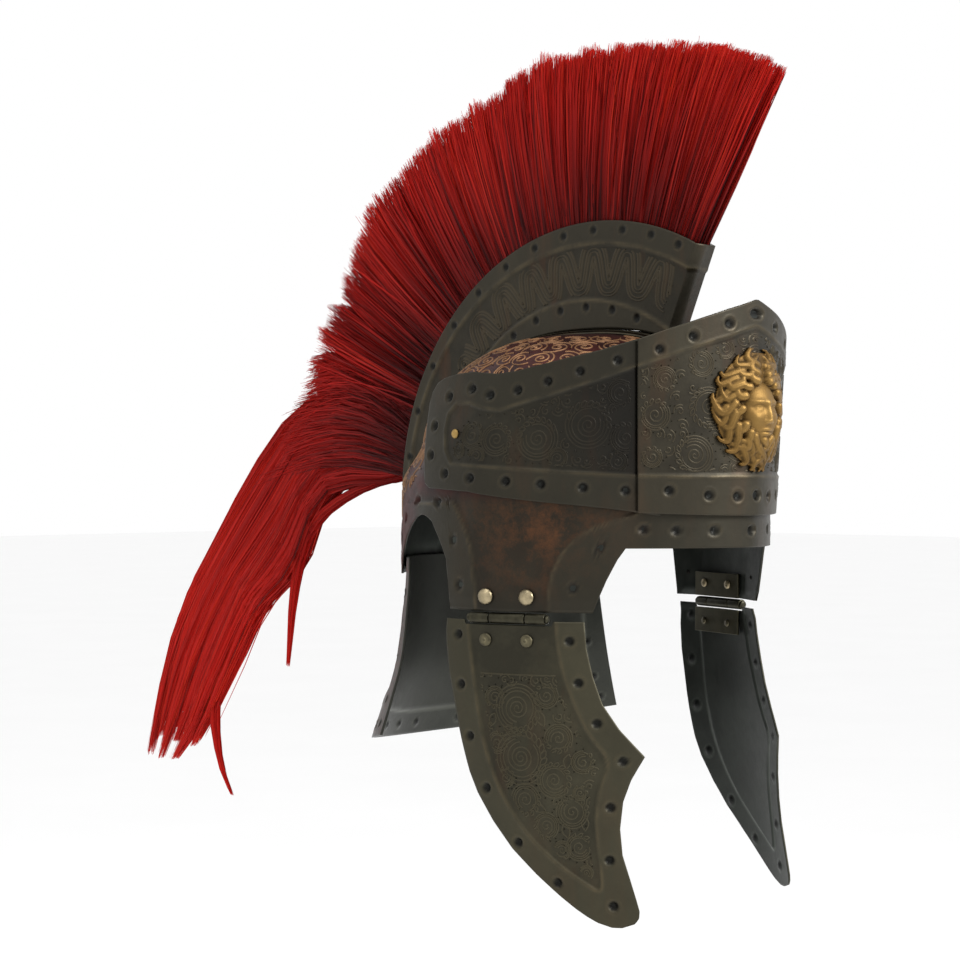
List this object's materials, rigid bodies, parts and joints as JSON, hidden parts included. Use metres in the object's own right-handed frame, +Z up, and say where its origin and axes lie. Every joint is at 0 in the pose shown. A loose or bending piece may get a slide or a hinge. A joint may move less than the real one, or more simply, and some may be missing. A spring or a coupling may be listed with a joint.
{
  "type": "roman helmet",
  "caption": "Crested steel helmet with a domed bowl, flared brow bands, a face boss, hinged cheek guards, a flared neck guard and a tall red hair brush with a trailing tail.",
  "frame": {"origin": "crown seat: the highest point of the inside of the bowl, on the mid-plane", "axes": "+Z up along the wearer's head, -Y towards the brow, +Y towards the nape and the tail, +X towards the wearer's left"},
  "size_m": [0.2066, 0.5492, 0.479],
  "materials": {
    "patinated_steel": "dark olive-brown patina with rubbed edges",
    "crown_steel": "reddish brown patina with copper-toned raised scrolls",
    "dark_steel": "dark blue-grey, lightly worn",
    "hinge_steel": "worn satin",
    "bright_rivet_steel": "bright worn domes",
    "brass": "aged, dark in the recesses",
    "red_hair": "coarse dyed hair"
  },
  "bodies": {
    "root": {"skull": "crown_steel", "crest_saddle": "patinated_steel", "crest_box": "patinated_steel", "crest_brush": "red_hair", "crest_tail": "red_hair", "brow_plate": "patinated_steel", "face_boss": "brass", "neck_guard": "dark_steel", "brow_band_right": "patinated_steel", "band_rivet_right": "brass", "hinge_upper_right": "hinge_steel", "hinge_pin_right": "hinge_steel", "tab_rivet_right_rear": "bright_rivet_steel", "tab_rivet_right_front": "bright_rivet_steel", "brow_band_left": "patinated_steel", "band_rivet_left": "brass", "hinge_upper_left": "hinge_steel", "hinge_pin_left": "hinge_steel", "tab_rivet_left_rear": "bright_rivet_steel", "tab_rivet_left_front": "bright_rivet_steel"},
    "guard_right": {"cheek_guard_right": "patinated_steel", "hinge_lower_right": "hinge_steel", "guard_rivet_right_rear": "bright_rivet_steel", "guard_rivet_right_front": "bright_rivet_steel"},
    "guard_left": {"cheek_guard_left": "patinated_steel", "hinge_lower_left": "hinge_steel", "guard_rivet_left_rear": "bright_rivet_steel", "guard_rivet_left_front": "bright_rivet_steel"}
  },
  "joints": [
    {"name": "guard_right_swing", "type": "hinge", "parent": "root", "child": "guard_right", "pos_m": [-0.09327, -0.02061, -0.1556], "axis": [-0.3078, 0.9515, 0], "range_deg": [-20, 118]},
    {"name": "guard_left_swing", "type": "hinge", "parent": "root", "child": "guard_left", "pos_m": [0.09327, -0.02061, -0.1556], "axis": [-0.3078, -0.9515, 0], "range_deg": [-20, 118]}
  ]
}
